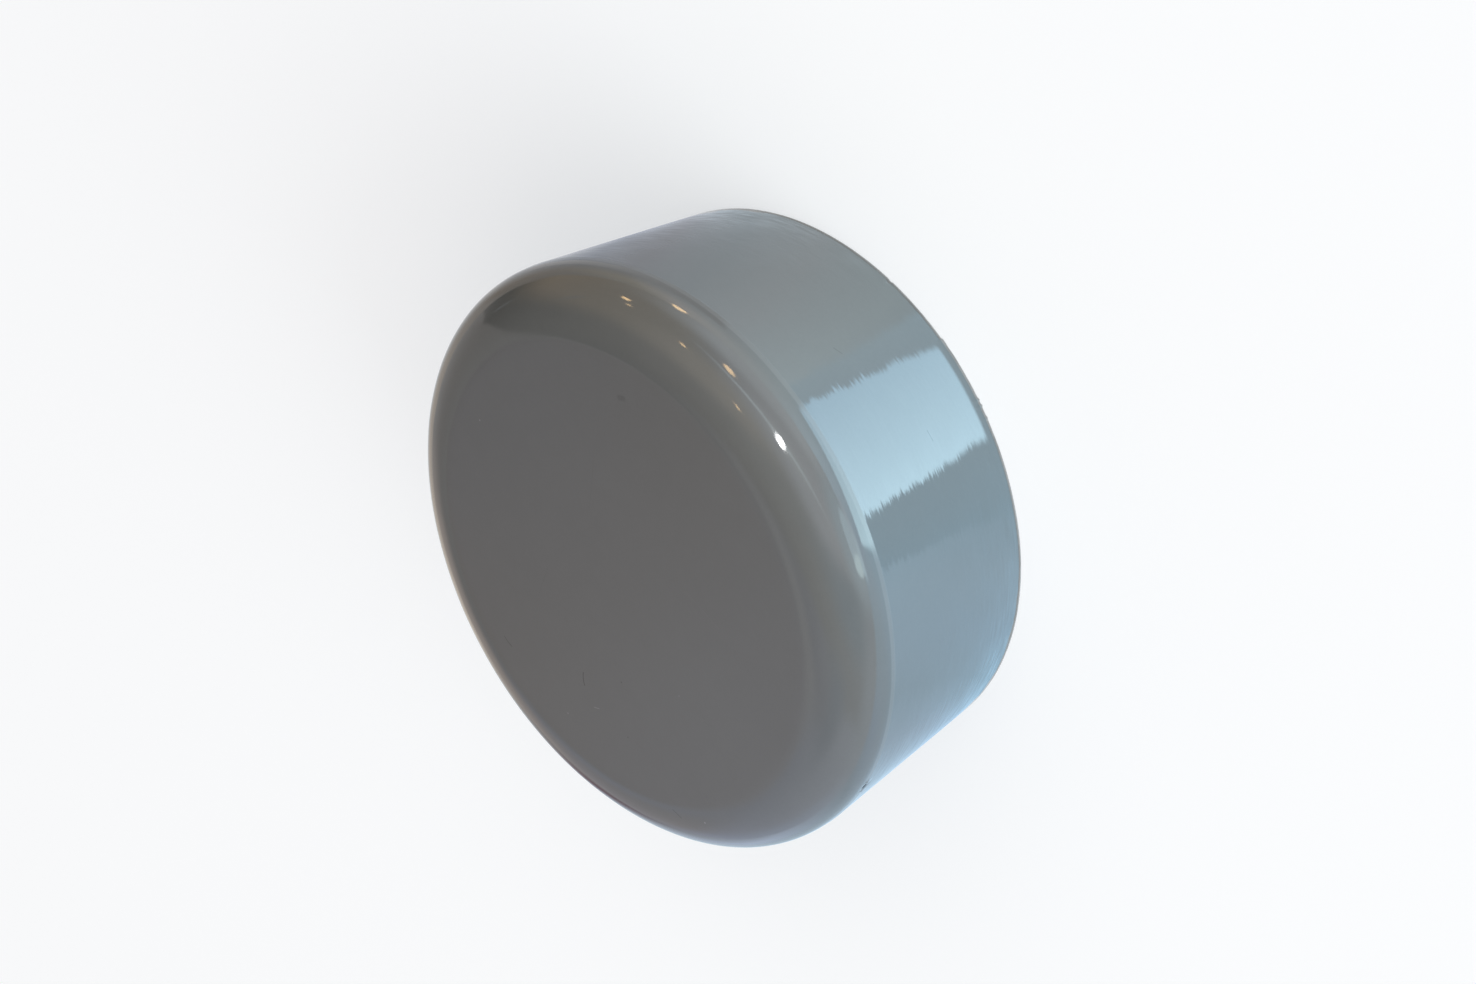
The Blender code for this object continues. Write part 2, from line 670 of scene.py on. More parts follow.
@dataclass(frozen=True)
class GlossyGrey:
    """Finish of the moulded plastic: smooth, through-coloured, handled a little.

    Attributes:
        colour: linear colour of the plastic.
        parting_highlight: colour of the painted highlight along the parting line.
        lip_sheen: colour of the painted reflection on the thin lip.
        gate_colour: colour of the torn gate.
        roughness: roughness of the clean gloss.
        bore_roughness: roughness inside the bore.
        relief_depth: depth of the faint bumps in the gloss.
        marked_face: depths below the top where the face's scratches end and are whole.
        land_band: distances from the parting line where the strip with its painted highlight and duller
            gloss ends and is whole.
        lip_band: heights where the lip's band of painted reflection and duller gloss ends and is whole.
        bore_border: how far the bore's roughness fades out into the rim.
        stop_border: how far it fades out above the stop.
        skirt_border: how far the skirt's marks fade out below the land.
    """

    colour: Colour = (0.114, 0.114, 0.1117)
    parting_highlight: Colour = (0.165, 0.168, 0.166)
    lip_sheen: Colour = (0.250, 0.252, 0.250)
    gate_colour: Colour = (0.035, 0.030, 0.028)
    roughness: float = 0.065
    bore_roughness: float = 0.30
    relief_depth: float = 0.0000045
    marked_face: tuple[float, float] = (0.0022, 0.0020)
    land_band: tuple[float, float] = (0.00042, 0.00018)
    lip_band: tuple[float, float] = (0.00050, 0.00030)
    bore_border: float = 0.0002
    stop_border: float = 0.0006
    skirt_border: float = 0.0004

    def build(self, section: CapSection, gate: Blemish) -> bpy.types.Material:
        """Make the material.

        Args:
            section: the cap's section, whose heights place the masks.
            gate: the torn gate, which is darker.

        Returns:
            The material.
        """
        material, graph = blank_material(MATERIAL_SLOT)
        at = self._shading(graph, section, gate)
        inputs = {
            "Base Color": self._colour(at),
            "Roughness": self._rough(at),
            "Metallic": 0.0,
            "IOR": 1.5,
            "Normal": self._normal(at),
        }
        shader = graph.node("ShaderNodeBsdfPrincipled", None, inputs)
        graph.node("ShaderNodeOutputMaterial", None, {"Surface": graph.signal(shader)})
        return material

    def _shading(self, graph: Graph, section: CapSection, gate: Blemish) -> Shading:
        """Work the masks out from the radius and the height.

        Args:
            graph: the material's graph.
            section: the cap's section.
            gate: the torn gate.

        Returns:
            The coordinates, the noise and the masks.
        """
        position = graph.signal(graph.node("ShaderNodeTexCoord"), "Object")
        x, y, z = graph.parts(position)
        radius = graph.math("SQRT", x * x + y * y)
        unrolled = graph.math("ARCTAN2", y, x) * SKIRT_RADIUS

        stop = section.height - section.end_wall
        inside = graph.step(radius, section.mouth_bore + self.bore_border, section.mouth_bore)
        inside = inside * graph.step(z, stop + self.stop_border, stop)
        outside = 1.0 - inside
        skirt = graph.step(z, section.land_foot, section.land_foot - self.skirt_border)
        land_middle = section.land_foot + section.parting_land / 2

        ahead = (unrolled - math.radians(gate.azimuth) * SKIRT_RADIUS) / gate.along
        aside = (z - gate.height) / gate.across
        return Shading(
            graph=graph,
            position=position,
            x=x,
            y=y,
            z=z,
            unrolled=unrolled,
            mottle=MOTTLE.value(graph, position),
            inside=inside,
            face=graph.step(section.height - z, *self.marked_face),
            skirt=skirt * outside,
            land=graph.step(abs(z - land_middle), *self.land_band) * outside,
            lip=graph.step(z, *self.lip_band) * outside,
            gate=graph.step(ahead * ahead + aside * aside, 0.95, 0.45),
        )

    def _colour(self, at: Shading) -> Signal:
        """Grey, with a painted highlight along the parting line and a painted reflection on the lip, with
        scratches and a little unevenness.

        Args:
            at: the coordinates, the noise and the masks.

        Returns:
            The colour.
        """
        graph, mottle = at.graph, at.mottle
        # painted highlight: the strip along the parting line is paler than the plastic
        colour = graph.blend(at.land * 0.55, self.colour, self.parting_highlight)
        # painted reflection: a pale band on the lip, a little uneven
        wear_and_sheen = at.lip * (0.7 + graph.step(mottle, 0.35, 0.6) * 0.3)
        colour = graph.blend(wear_and_sheen, colour, self.lip_sheen)
        masks = [(mark, mark.mask(graph, at.x, at.y) * at.face) for mark in FACE_HAIRLINES]
        masks += [(mark, mark.mask(graph, at.unrolled, at.z) * at.skirt) for mark in SKIRT_HAIRLINES]
        for mark, mask in masks:
            colour = graph.blend(mask, colour, tuple(channel * mark.shade for channel in self.colour))
        colour = graph.blend(at.gate * (1.0 - at.inside), colour, self.gate_colour)
        broad, fine, drawn = (grain.value(graph, at.position) for grain in (BROAD, FINE, DRAWN))
        shade = 0.93 + broad * 0.07 + (mottle - 0.5) * 0.045 + (fine - 0.5) * 0.05 + (drawn - 0.5) * 0.03
        return graph.vector("SCALE", colour, shade)

    def _rough(self, at: Shading) -> Signal:
        """Gloss with smudges, duller where the parting line and the lip are worn, in the bore and at the
        gate.

        Args:
            at: the coordinates, the noise and the masks.

        Returns:
            The roughness.
        """
        smudge = at.graph.step(SMEAR.value(at.graph, at.position), 0.55, 0.75)
        wear_and_sheen = at.land * 0.08 + at.lip * 0.06
        rough = self.roughness + smudge * 0.05 + (at.mottle - 0.5) * 0.03 + wear_and_sheen
        return rough + at.gate * 0.4 + at.inside * (self.bore_roughness - self.roughness)

    def _normal(self, at: Shading) -> Signal:
        """Faint bumps over the lines of the skirt, and drawn lines in the bore.

        Args:
            at: the coordinates, the noise and the masks.

        Returns:
            The normal.
        """
        peel, ripple, sweep = (grain.value(at.graph, at.position) for grain in (PEEL, RIPPLE, SWEEP))
        inputs = {
            "Strength": 1.0,
            "Distance": self.relief_depth,
            "Height": peel * 0.35 + ripple * 0.8 + at.inside * sweep * 2.0,
            "Normal": self._drawn(at),
        }
        return at.graph.signal(at.graph.node("ShaderNodeBump", None, inputs), "Normal")

    @staticmethod
    def _drawn(at: Shading) -> Signal:
        """The surface's normal, turned a little sideways along fine lines round the skirt.

        The turn is noise that changes fast with the height and slowly round the cap, so
        borders mirrored in the skirt fray into short hairs. It grows towards the lip.

        Args:
            at: the coordinates, the noise and the masks.

        Returns:
            The turned normal.
        """
        graph = at.graph
        inputs = {0: at.unrolled, 1: at.z, 2: 0.0}
        flat = graph.signal(graph.node("ShaderNodeCombineXYZ", None, inputs))
        lines, drift = LINES.value(graph, flat), DRIFT.value(graph, flat)
        nearness = at.skirt * (0.0118 / (at.z + 0.0025) + 1.0)
        turn = ((lines - 0.5) * 0.105 + (drift - 0.5) * 0.035) * nearness
        normal = graph.signal(graph.node("ShaderNodeNewGeometry"), "Normal")
        sideways = graph.vector("CROSS_PRODUCT", Vector((0.0, 0.0, 1.0)), normal)
        turned = graph.vector("ADD", normal, graph.vector("SCALE", sideways, turn))
        return graph.vector("NORMALIZE", turned)


@dataclass
class EndCap:
    """The moulding: a turned section with flash, gate and ripples.

    Attributes:
        section: half section of the cap.
        columns: points round the cap before the fine places are added.
        crowding: how many times closer they are at the fine places, less one.
        ripple_start: width of the edge over which the ripples begin beside the flat face.
        gate: the torn gate on the parting line.
        nubs: small faults on the lip and beside the gate.
        flash: thin fin on the lip.
        ripples: waves in the gloss.
        finish: the plastic.
    """

    section: CapSection
    columns: int = 300
    crowding: float = 5.0
    ripple_start: float = 0.002
    gate: Blemish = Blemish(-159.0, 0.0225, 0.00050, 0.00040, -0.00016)
    nubs: tuple[Blemish, ...] = (
        Blemish(-157.4, 0.0227, 0.00018, 0.00022, 0.00011),
        Blemish(-160.3, 0.0226, 0.00016, 0.00020, 0.00008),
        Blemish(-93.0, 0.0002, 0.00013, 0.00025, 0.00016),
        Blemish(-94.3, 0.0002, 0.00016, 0.00025, 0.00013),
        Blemish(-96.8, 0.0002, 0.00014, 0.00022, 0.00010),
        Blemish(-64.0, 0.0002, 0.00020, 0.00030, -0.00014),
        Blemish(-109.8, 0.0227, 0.00030, 0.00025, 0.00006),
    )
    flash: Flash = Flash(-79.3, -112.0, 0.00014, 0.00045)
    ripples: Ripples = Ripples()
    finish: GlossyGrey = GlossyGrey()

    def azimuths(self) -> np.ndarray:
        """Columns round the cap, closer together at the gate and the nubs.

        The columns are even steps of a running sum of density, where each fine
        place adds a bell curve to a density of one. The fine places are the gate, the
        nubs on the lip, the flash's step and a nick in the lip, each with the half
        span of its bell in degrees.

        Returns:
            Azimuths in radians, from -pi up to pi.
        """
        sample = np.linspace(-math.pi, math.pi, 7201)
        fine = ((self.gate.azimuth, 1.8), (-94.5, 3.2), (self.flash.start, 1.0), (-64.0, 0.8))
        places, spans = np.radians(fine).T
        bells = np.exp(-((sample[:, None] - places) / spans) ** 2)
        density = 1.0 + self.crowding * bells.sum(axis=1)
        running = np.concatenate(([0.0], np.cumsum((density[1:] + density[:-1]) / 2)))
        total = int(self.columns * running[-1] / (len(sample) - 1))
        return np.interp(np.linspace(0.0, running[-1], total, endpoint=False), running, sample)

    def surface(self) -> np.ndarray:
        """Grid of points: the section turned about Z and pushed out along its normal.

        Only the outside is pushed, down to the rim's plane.

        Returns:
            Array of rings by columns by 3. Its first and last rings are poles.
        """
        outline = self.section.outline()
        around = self.azimuths()[None, :]
        tangent = np.gradient(outline, axis=0)
        tangent /= np.linalg.norm(tangent, axis=1)[:, None]
        normal = np.column_stack((-tangent[:, 1], tangent[:, 0]))
        steps = np.linalg.norm(np.diff(outline, axis=0), axis=1)
        along = np.concatenate(([0.0], np.cumsum(steps)))[:, None]
        radius, height = outline[:, :1], outline[:, 1:]

        outer = np.zeros((len(outline), 1))
        outer[:int(np.argmin(outline[:, 1]))] = 1.0
        relief = self.ripples.relief(around, along, self.section.widest_radius)
        beside_face = (radius - self.section.face_radius) / self.ripple_start
        relief = relief * outer * np.clip(beside_face, 0.0, 1.0)
        for blemish in (self.gate, *self.nubs):
            relief = relief + blemish.relief(around, radius, height) * outer
        relief = relief + self.flash.relief(around, height) * outer

        moved_radius = radius + normal[:, :1] * relief
        moved_height = np.maximum(height + normal[:, 1:] * relief, 0.0)
        return np.stack(
            (moved_radius * np.cos(around), moved_radius * np.sin(around), moved_height + 0.0 * around),
            axis=-1,
        )

    def build(self) -> bpy.types.Object:
        """Make the mesh, smooth all over.

        Returns:
            The new object, at the origin.
        """
        made = add_mesh(PIECE, *closed_surface(self.surface()))
        made.data.polygons.foreach_set("use_smooth", np.ones(len(made.data.polygons), bool))
        made.data.update()
        return made

    def dress(self, made: bpy.types.Object) -> None:
        """Give the moulding its plastic and tie it to the frame.

        Args:
            made: the moulding.
        """
        made.data.materials.append(self.finish.build(self.section, self.gate))
        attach(made, BODY)
        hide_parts(CAD_NODE)


def closed_surface(grid: np.ndarray) -> tuple[np.ndarray, list]:
    """Vertices and faces of a turned grid whose first and last rings are poles.

    Args:
        grid: array of rings by columns by 3, running down the outside.

    Returns:
        The vertices, and the faces with their fronts outwards.
    """
    rings, columns = grid.shape[0], grid.shape[1]
    vertices = np.vstack((grid[0, :1], grid[1:-1].reshape(-1, 3), grid[-1, :1]))
    first = 1 + np.arange(columns)
    following = 1 + (np.arange(columns) + 1) % columns
    start = (np.arange(rings - 3) * columns)[:, None]
    above, beside = first + start, following + start
    quads = np.stack((above, above + columns, beside + columns, beside), axis=-1).reshape(-1, 4)
    last = len(vertices) - 1
    shift = (rings - 3) * columns
    top = np.column_stack((np.zeros(columns, int), first, following))
    bottom = np.column_stack((np.full(columns, last), following + shift, first + shift))
    return vertices, [*top.tolist(), *quads.tolist(), *bottom.tolist()]


class Role(Enum):
    """Which rays see a lamp."""

    MIRRORED = "glossy"
    LIGHTING = "diffuse"


@dataclass(frozen=True)
class Lamp:
    """A lamp at a direction from a point on the cap.

    Attributes:
        name: the lamp's name.
        azimuth: direction in degrees from +X towards +Y.
        elevation: direction in degrees above the level of the cap's edge.
        width: how wide it looks from there, in degrees.
        tall: how tall it looks.
        radiance: linear brightness of its surface.
        distance: how far away it is.
        role: which kind of ray sees it.
    """

    name: str
    azimuth: float
    elevation: float
    width: float
    tall: float
    radiance: Colour
    distance: float
    role: Role = Role.MIRRORED

    def hang(self) -> None:
        """Make the lamp.

        Its power is four times its area times its radiance, as Blender reads it.
        """
        halves = [math.tan(math.radians(turn / 2)) for turn in (self.width, self.tall)]
        across, upright = (2 * self.distance * half for half in halves)
        area = across * upright * math.pi / 4
        strongest = max(self.radiance)
        data = bpy.data.lights.new(self.name, "AREA")
        data.shape = "ELLIPSE"
        data.size, data.size_y = across, upright
        data.color = [channel / strongest for channel in self.radiance]
        data.energy = 4 * area * strongest
        lamp = bpy.data.objects.new(self.name, data)
        away = bearing(self.azimuth, self.elevation)
        lamp.location = Vector((0.0, 0.0, EDGE_LEVEL)) + away * self.distance
        lamp.rotation_mode = "QUATERNION"
        lamp.rotation_quaternion = away.to_track_quat("Z", "Y")
        lamp.visible_camera = False
        lamp.visible_glossy = self.role is Role.MIRRORED
        lamp.visible_diffuse = self.role is Role.LIGHTING
        bpy.context.scene.collection.objects.link(lamp)


@dataclass(frozen=True)
class SkyPatch:
    """An oval patch of the surroundings.

    Attributes:
        azimuth: direction of its middle in degrees from +X towards +Y.
        elevation: direction of its middle in degrees above the floor.
        half_width: half of its width in degrees.
        half_height: half of its height in degrees.
        softness: share of its size over which its border fades.
        radiance: linear brightness.
    """

    azimuth: float
    elevation: float
    half_width: float
    half_height: float
    softness: float
    radiance: Colour

    def mask(self, graph: Graph, towards: Signal) -> Signal:
        """1 inside the oval and 0 outside.

        The direction's share along the oval's two axes, each divided by the sine of
        its half size, gives the distance from the middle.

        Args:
            graph: the world's graph.
            towards: the direction that is looked in.

        Returns:
            The mask.
        """
        across = bearing(self.azimuth + 90.0, 0.0)
        middle = bearing(self.azimuth, self.elevation)
        upwards = middle.cross(across)
        sideways = graph.dot(towards, across) / math.sin(math.radians(self.half_width))
        height = graph.dot(towards, upwards) / math.sin(math.radians(self.half_height))
        distance = graph.math("SQRT", sideways * sideways + height * height)
        ahead = graph.step(graph.dot(towards, middle), 0.0, 0.15)
        return graph.step(distance, 1.0 + self.softness, 1.0 - self.softness) * ahead


@dataclass(frozen=True)
class Sky:
    """A plain colour with soft patches.

    Attributes:
        base: brightness where there is no patch.
        patches: patches, each painted over those before it.
    """

    base: Colour
    patches: tuple[SkyPatch, ...]

    def paint(self, graph: Graph, towards: Signal) -> bpy.types.Node:
        """Make its nodes.

        Args:
            graph: the world's graph.
            towards: the direction that is looked in.

        Returns:
            The Background node that they end in.
        """
        colour: "Signal | Colour" = self.base
        for patch in self.patches:
            colour = graph.blend(patch.mask(graph, towards), colour, patch.radiance)
        return graph.node("ShaderNodeBackground", None, {"Color": colour})


@dataclass(frozen=True)
class Surroundings:
    """Soft light from all round: dim and brown towards +X, bright and cool towards -Y.

    Attributes:
        matt: what lights matt surfaces, in broad patches.
        mirrored: what the gloss shows, in detail.
        backdrop: what the camera sees past the floor.
    """

    matt: Sky
    mirrored: Sky
    backdrop: Colour

    def build(self) -> None:
        """Make the world."""
        world = bpy.data.worlds.new("soft_surroundings")
        world.use_nodes = True
        graph = Graph(world.node_tree)
        towards = graph.signal(graph.node("ShaderNodeTexCoord"), "Generated")
        plain = graph.node("ShaderNodeBackground", None, {"Color": opaque(self.backdrop)})
        shader = graph.signal(self.matt.paint(graph, towards))
        for ray, other in (
            ("Is Glossy Ray", self.mirrored.paint(graph, towards)),
            ("Is Camera Ray", plain),
        ):
            inputs = {0: graph.light_path(ray), 1: shader, 2: graph.signal(other)}
            shader = graph.signal(graph.node("ShaderNodeMixShader", None, inputs))
        graph.node("ShaderNodeOutputWorld", None, {"Surface": shader})
        bpy.context.scene.world = world


@dataclass(frozen=True)
class Floor:
    """Pale matt floor that keeps the cap's shadow.

    Attributes:
        half_size: half of its width.
        colour: its own colour.
        glow: what the camera and the gloss see of it besides its light.
    """

    half_size: float = 4.0
    colour: Colour = (0.48, 0.43, 0.40)
    glow: Colour = (0.52, 0.56, 0.595)

    def build(self) -> None:
        """Make the floor: matt paint, with a glow for the camera and the gloss alone."""
        x, y = np.meshgrid([-self.half_size, self.half_size], [-self.half_size, self.half_size])
        made = add_mesh("floor", np.column_stack((x.ravel(), y.ravel(), np.zeros(4))), [(0, 1, 3, 2)])
        material, graph = blank_material("floor_paint")
        material.cycles.emission_sampling = "NONE"
        seen = graph.light_path("Is Camera Ray", "Is Glossy Ray", "Is Transmission Ray")
        paint = graph.node("ShaderNodeBsdfDiffuse", None, {"Color": opaque(self.colour)})
        glow = graph.node("ShaderNodeEmission", None, {"Color": opaque(self.glow), "Strength": seen})
        both = graph.node("ShaderNodeAddShader", None, {0: graph.signal(paint), 1: graph.signal(glow)})
        graph.node("ShaderNodeOutputMaterial", None, {"Surface": graph.signal(both)})
        made.data.materials.append(material)


@dataclass(frozen=True)
class FloorPatch:
    """A bright patch of the floor's mirror image, between two radii round the cap.

    Attributes:
        azimuth: its middle in degrees.
        half_width: half of its width, in metres at its inner radius.
        flare: how much the half width grows for each metre of radius.
        inner: radius of its inner edge.
        outer: radius of its outer edge.
        softness: how far its borders fade, in metres.
        low_side: linear brightness on the side of the lower azimuth.
        high_side: linear brightness on the other side.
        slant: how much the outer radius grows for each metre towards the higher azimuth.
        waver: how far its sides wander, in metres.
    """

    azimuth: float
    half_width: float
    flare: float
    inner: float
    outer: float
    softness: float
    low_side: Colour
    high_side: Colour
    slant: float = 0.0
    waver: float = 0.0

    def mask(self, radius: np.ndarray, azimuth: np.ndarray) -> np.ndarray:
        """Share of the patch at each point: product of four soft borders.

        The sides wander by two sine waves of the distance, other ones on each side.

        Args:
            radius: distance of each point from the cap's axis.
            azimuth: direction of each point in degrees.

        Returns:
            Numbers from 0 to 1.
        """
        aside = np.radians(azimuth - self.azimuth)
        sideways = radius * np.sin(aside)
        outwards = radius * np.cos(aside)
        side = np.sign(sideways)
        wander = np.sin(outwards * 540.0 + side) + 0.6 * np.sin(outwards * 1530.0 + 2.0 * side)
        half = self.half_width + self.flare * (outwards - self.inner) + self.waver * wander
        inside = soft_step(half - np.abs(sideways), self.softness)
        inner_softness = min(self.softness, 0.0002)
        inside = inside * soft_step(radius - self.inner, inner_softness)
        outer = self.outer + self.slant * sideways
        return inside * soft_step(outer - radius, self.softness) * (outwards > 0)

    def glow(self, azimuth: np.ndarray) -> np.ndarray:
        """Brightness across the patch, from one side's to the other's.

        Args:
            azimuth: direction of each point in degrees.

        Returns:
            Array of colours.
        """
        reach = math.degrees(math.atan2(self.half_width, self.inner)) * 1.6
        share = np.clip((azimuth - self.azimuth + reach) / (2 * reach), 0.0, 1.0)[..., None]
        return np.asarray(self.low_side) * (1.0 - share) + np.asarray(self.high_side) * share


def soft_step(value: np.ndarray, softness: float) -> np.ndarray:
    """0 below minus the softness, 1 above it, smooth between."""
    share = np.clip(value / (2 * softness) + 0.5, 0.0, 1.0)
    return share * share * (3.0 - 2.0 * share)


@dataclass(frozen=True)
class MirrorFloor:
    """What the gloss sees of the floor: a disc just above it that nothing else sees.

    Attributes:
        near: azimuths and colours close to the cap.
        far: azimuths and colours far from it.
        patches: bright patches on it.
        inner: radius of its hole.
        outer: radius of its border.
        lift: height above the floor.
        change: radii between which near turns into far.
        rim: radii at which the shade at the cap's foot is given.
        rim_shade: what near is multiplied by at those radii.
        rings: how many rings it has.
        gather: power that draws the rings towards the hole.
        columns: points round it.
        spread: how much wider apart they are towards -Y.
    """

    near: tuple[tuple[float, Colour], ...]
    far: tuple[tuple[float, Colour], ...]
    patches: tuple[FloorPatch, ...]
    inner: float = 0.0312
    outer: float = 3.9
    lift: float = 0.0003
    change: tuple[float, float] = (0.070, 0.150)
    rim: tuple[float, ...] = (0.031, 0.052, 0.059)
    rim_shade: tuple[float, ...] = (0.80, 1.08, 0.96)
    rings: int = 220
    gather: float = 1.7
    columns: int = 1201
    spread: float = 0.15

    def build(self) -> None:
        """Make the disc: rings whose radii grow faster and faster, coloured per point.

        A ring's radius is the hole's times a power of the border's over the hole's.
        """
        share = np.linspace(0.0, 1.0, self.rings)[:, None]
        radius = self.inner * (self.outer / self.inner) ** (share ** self.gather)
        turn = np.linspace(0.0, 1.0, self.columns)[None, :]
        azimuth = -270.0 + 360.0 * (turn - self.spread * np.sin(2 * math.pi * turn) / (2 * math.pi))
        radius, azimuth = np.broadcast_arrays(radius, azimuth)
        around = np.radians(azimuth)
        level = np.full(radius.shape, self.lift)
        grid = np.stack((radius * np.cos(around), radius * np.sin(around), level), axis=-1)
        number = np.arange(radius.size).reshape(radius.shape)
        quads = np.stack((number[:-1, :-1], number[1:, :-1], number[1:, 1:], number[:-1, 1:]), axis=-1)
        made = add_mesh("mirror_floor", grid.reshape(-1, 3), quads.reshape(-1, 4))
        glow = made.data.color_attributes.new("glow", "FLOAT_COLOR", "POINT")
        glow.data.foreach_set("color", self._glow(radius, azimuth).reshape(-1))
        made.data.materials.append(self._finish())
        for kind in ("camera", "diffuse", "transmission", "volume_scatter", "shadow"):
            setattr(made, f"visible_{kind}", False)

    def _glow(self, radius: np.ndarray, azimuth: np.ndarray) -> np.ndarray:
        """Colour of every point: near and far stops by azimuth, then the patches.

        Near turns into far with the logarithm of the radius.

        Args:
            radius: distance of each point from the cap's axis.
            azimuth: direction of each point in degrees.

        Returns:
            Array of colours with full opacity.
        """
        turned = (azimuth + 180.0) % 360.0 - 180.0
        near = stops_at(self.near, turned) * np.interp(radius, self.rim, self.rim_shade)[..., None]
        far = stops_at(self.far, turned)
        start, end = np.log(self.change)
        share = np.clip((np.log(radius) - start) / (end - start), 0.0, 1.0)[..., None]
        colour = near * (1.0 - share) + far * share
        for patch in self.patches:
            mask = patch.mask(radius, turned)[..., None]
            colour = colour * (1.0 - mask) + patch.glow(turned) * mask
        return np.concatenate((colour, np.ones((*radius.shape, 1))), axis=-1)

    @staticmethod
    def _finish() -> bpy.types.Material:
        """Glow with the colour of each point.

        Returns:
            The material.
        """
        material, graph = blank_material("mirror_floor")
        material.cycles.emission_sampling = "NONE"
        glow = graph.node("ShaderNodeAttribute", {"attribute_name": "glow"})
        inputs = {"Color": graph.signal(glow, "Color"), "Strength": 1.0}
        shader = graph.node("ShaderNodeEmission", None, inputs)
        graph.node("ShaderNodeOutputMaterial", None, {"Surface": graph.signal(shader)})
        return material


def stops_at(stops: tuple[tuple[float, Colour], ...], azimuth: np.ndarray) -> np.ndarray:
    """Colours between stops, going round from the last to the first.

    Args:
        stops: azimuth in degrees and colour, in rising order.
        azimuth: where the colours are wanted, from -180 to 180.

    Returns:
        Array of colours.
    """
    places = [place for place, _ in stops]
    colours = np.array([colour for _, colour in stops])
    return np.stack([np.interp(azimuth, places, channel, period=360.0) for channel in colours.T], axis=-1)


@dataclass(frozen=True)
class PhotoCamera:
    """The camera, where the picture was taken from.

    Attributes:
        position: the lens.
        forward: direction of view.
        up: the picture's upward direction.
        lens: focal length in millimetres on a sensor 36 mm wide.
    """

    position: Point = (0.0, -0.32530, 0.26591)
    forward: Point = (0.00467, 0.78509, -0.61937)
    up: Point = (0.87877, -0.29880, -0.37213)
    lens: float = 93.43

    def build(self) -> None:
        """Make the camera and use it."""
        data = bpy.data.cameras.new("photo_camera")
        data.lens = self.lens
        data.sensor_width = 36.0
        data.sensor_fit = "HORIZONTAL"
        data.clip_start = 0.01
        data.clip_end = 50.0
        made = bpy.data.objects.new("photo_camera", data)
        back = -Vector(self.forward).normalized()
        right = Vector(self.up).cross(back).normalized()
        up = back.cross(right)
        turn = Matrix((right, up, back)).transposed()
        made.matrix_world = Matrix.Translation(self.position) @ turn.to_4x4()
        bpy.context.scene.collection.objects.link(made)
        bpy.context.scene.camera = made


